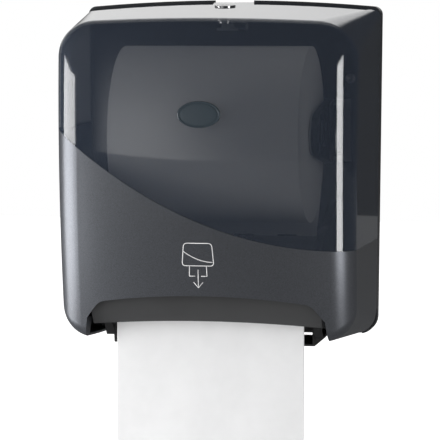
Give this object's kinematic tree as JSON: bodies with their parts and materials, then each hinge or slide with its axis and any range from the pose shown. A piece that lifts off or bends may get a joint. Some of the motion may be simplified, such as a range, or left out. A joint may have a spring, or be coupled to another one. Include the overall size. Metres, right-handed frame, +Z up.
{
  "type": "roll towel dispenser",
  "caption": "Wall-mounted roll towel dispenser: curved hinged cover with hand notch, locked at the top, over a towel roll, feed drum with swinging knife and hanging paper tail.",
  "frame": {"origin": "middle of the back plate's rear face, on the wall", "axes": "+X to the right as the user faces it, -Y out of the wall towards the user, +Z up"},
  "size_m": [0.3298, 0.2221, 0.4778],
  "materials": {
    "cover_plastic": "smoked translucent gloss at the top, fine metallic grey coating below",
    "pad_plastic": "gloss",
    "dark_plastic": "fine texture",
    "guard_plastic": "matte",
    "frame_plastic": "matte",
    "drum_plastic": "satin",
    "wheel_plastic": "satin",
    "white_plastic": "satin",
    "band_rubber": "matte",
    "steel": "plated",
    "spring_steel": "drawn wire",
    "blade_steel": "ground",
    "towel": "embossed tissue",
    "core_board": "raw board"
  },
  "bodies": {
    "base": {"back_plate": "dark_plastic", "hinge_pins": "steel", "catch_bracket": "steel", "side_frame_left": "frame_plastic", "side_frame_right": "frame_plastic", "drum_bushes": "white_plastic", "press_pivot": "steel", "rear_chute": "dark_plastic", "drum_guard": "guard_plastic", "cam_plate": "white_plastic", "spring_post": "steel", "overcentre_spring": "spring_steel", "roll_arm_left": "frame_plastic", "roll_hub_left": "white_plastic", "arm_bracket": "steel", "arm_pin": "steel", "paper_web": "towel", "paper_tail": "towel"},
    "cover": {"front_cover": "cover_plastic", "oval_pad": "pad_plastic"},
    "lock": {"lock_barrel": "steel", "lock_cam": "steel"},
    "roll": {"paper_roll": "towel", "roll_core": "core_board"},
    "drum": {"drum_body": "drum_plastic", "drum_cap": "drum_plastic", "drum_bands": "band_rubber", "drum_shaft": "steel", "hand_wheel": "wheel_plastic", "crank_disc": "white_plastic", "crank_pin": "steel"},
    "knife": {"knife_bar": "wheel_plastic", "knife_blade": "blade_steel", "follower_pin": "steel"},
    "press_frame": {"press_arms": "frame_plastic"},
    "press_roll": {"press_roller": "band_rubber", "press_shaft": "steel"},
    "right_arm": {"roll_arm_right": "frame_plastic", "roll_hub_right": "white_plastic"}
  },
  "joints": [
    {"name": "cover_hinge", "type": "hinge", "parent": "base", "child": "cover", "pos_m": [0, -0.013, -0.174], "axis": [1, 0, 0], "range_deg": [0, 88]},
    {"name": "lock_turn", "type": "hinge", "parent": "cover", "child": "lock", "pos_m": [0, -0.07, 0.17959], "axis": [0, -0.0896, 0.996], "range_deg": [0, 90]},
    {"name": "roll_spin", "type": "hinge", "parent": "base", "child": "roll", "pos_m": [0, -0.109, 0.042], "axis": [-1, 0, 0], "continuous": true},
    {"name": "drum_spin", "type": "hinge", "parent": "base", "child": "drum", "pos_m": [0, -0.117, -0.118], "axis": [1, 0, 0], "continuous": true},
    {"name": "press_spin", "type": "hinge", "parent": "press_frame", "child": "press_roll", "pos_m": [0, -0.08826, -0.07696], "axis": [-1, 0, 0], "continuous": true},
    {"name": "knife_swing", "type": "hinge", "parent": "drum", "child": "knife", "pos_m": [0, -0.14895, -0.12004], "axis": [-1, 0, 0], "range_deg": [0, 26], "deforming": ["paper_web"]},
    {"name": "press_lift", "type": "hinge", "parent": "base", "child": "press_frame", "pos_m": [0, -0.052, -0.096], "axis": [-1, 0, 0], "range_deg": [0, 12], "stiffness_Nm_per_rad": 1, "springref_deg": -11.46, "deforming": ["paper_web"]},
    {"name": "right_arm_swing", "type": "hinge", "parent": "base", "child": "right_arm", "pos_m": [0.117, -0.011, 0.042], "axis": [0, 0, 1], "range_deg": [0, 18]}
  ],
  "couplings": [
    {"joint": "drum_spin", "follows": "roll_spin", "ratio": 2.375},
    {"joint": "press_spin", "follows": "roll_spin", "ratio": 10.556}
  ]
}
